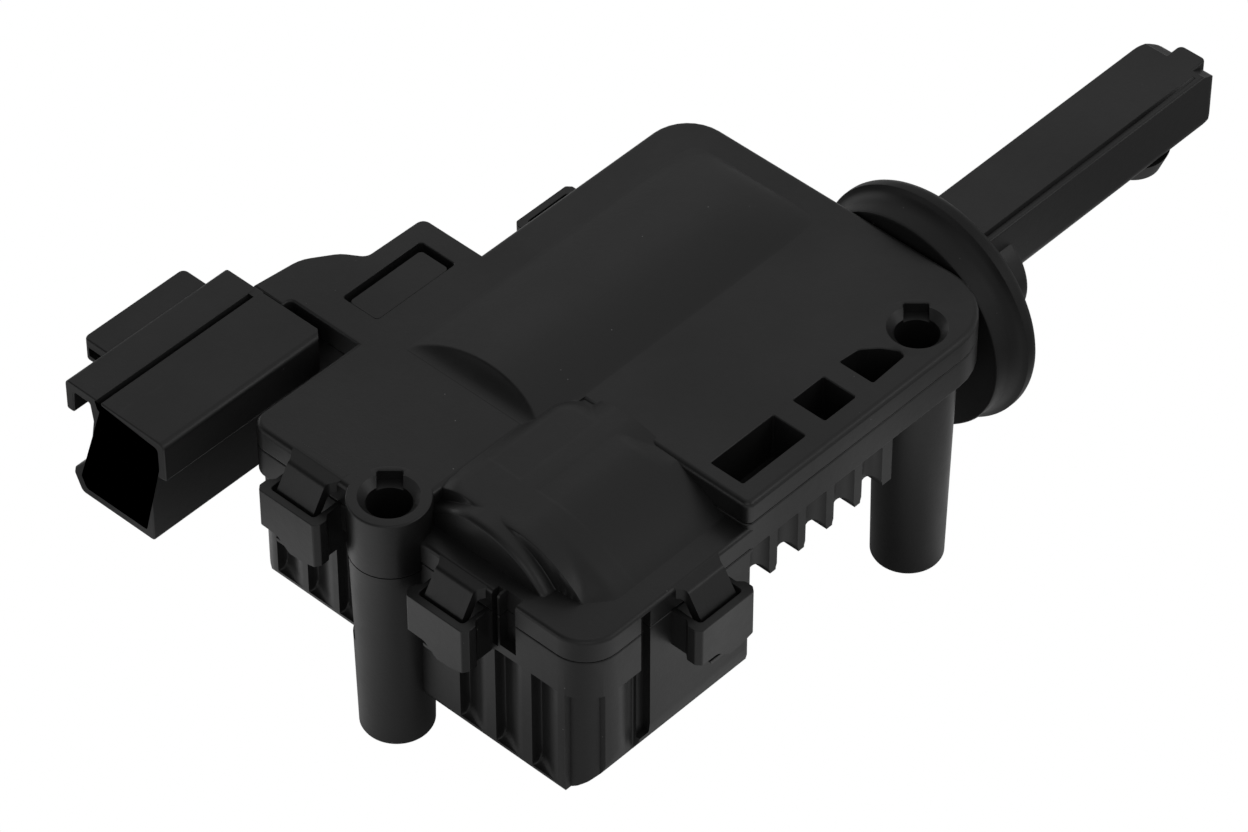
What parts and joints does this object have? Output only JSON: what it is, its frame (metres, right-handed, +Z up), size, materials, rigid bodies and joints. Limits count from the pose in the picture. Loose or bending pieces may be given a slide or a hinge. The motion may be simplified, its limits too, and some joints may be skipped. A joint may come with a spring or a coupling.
{
  "type": "tailgate lock",
  "caption": "Motor-driven locking pin in a snapped black plastic housing, with two screw pillars, a rubber seal round the pin and an empty plug socket on an arm.",
  "frame": {"origin": "centre of the front screw bore, at the foot of its pillar", "axes": "+X along the locking pin towards its tip, +Y towards the plug socket, +Z up out of the cover"},
  "size_m": [0.1446, 0.0849, 0.0419],
  "materials": {
    "housing_plastic": "satin moulded",
    "seal_rubber": "matte",
    "soft_rubber": "matte",
    "natural_plastic": "smooth",
    "terminal_metal": "bright",
    "motor_steel": "plain",
    "magnet_ferrite": "ground",
    "bush_bronze": "sintered",
    "brush_carbon": "carbon",
    "winding_copper": "enamelled"
  },
  "bodies": {
    "housing": {"top_cover": "housing_plastic", "base_housing": "housing_plastic", "connector_shell": "housing_plastic", "arm_plug": "housing_plastic", "seam_gasket": "soft_rubber", "rubber_seal": "seal_rubber", "guide_bush": "natural_plastic", "terminal_upper": "terminal_metal", "terminal_lower": "terminal_metal", "motor_can": "motor_steel", "motor_end_bell": "natural_plastic", "magnet_left": "magnet_ferrite", "magnet_right": "magnet_ferrite", "motor_front_bush": "bush_bronze", "motor_rear_bush": "bush_bronze", "brush_upper": "brush_carbon", "brush_lower": "brush_carbon", "motor_damper_front": "soft_rubber", "motor_damper_rear": "soft_rubber", "idler_axle": "motor_steel", "screw_rear_bush": "bush_bronze", "screw_front_bush": "bush_bronze", "thrust_washer": "motor_steel", "stop_buffer": "soft_rubber"},
    "rotor": {"rotor_shaft": "motor_steel", "armature_core": "motor_steel", "armature_windings": "winding_copper", "commutator": "terminal_metal", "motor_pinion": "bush_bronze"},
    "idler": {"reduction_wheel": "natural_plastic"},
    "screw": {"drive_gear": "natural_plastic", "lead_screw": "motor_steel"},
    "plunger": {"lock_pin": "housing_plastic", "plunger_nut": "natural_plastic"}
  },
  "joints": [
    {"name": "pin_slide", "type": "slide", "parent": "housing", "child": "plunger", "axis": [1, 0, 0], "range_m": [-0.012, 0]},
    {"name": "screw_spin", "type": "hinge", "parent": "housing", "child": "screw", "pos_m": [0.03, -0.0154, 0.0249], "axis": [1, 0, 0], "range_deg": [-1.6, 361.6]},
    {"name": "idler_spin", "type": "hinge", "parent": "housing", "child": "idler", "pos_m": [0.012, -0.0002, 0.02243], "axis": [1, 0, 0], "range_deg": [-1227.04, 3.04]},
    {"name": "rotor_spin", "type": "hinge", "parent": "housing", "child": "rotor", "pos_m": [0.04, 0.0055, 0.029], "axis": [1, 0, 0], "range_deg": [-4.88, 2330.48]}
  ],
  "couplings": [
    {"joint": "screw_spin", "follows": "pin_slide", "rad_per_m": -523.6},
    {"joint": "idler_spin", "follows": "pin_slide", "rad_per_m": 1780.2},
    {"joint": "rotor_spin", "follows": "pin_slide", "rad_per_m": -3382.4}
  ]
}
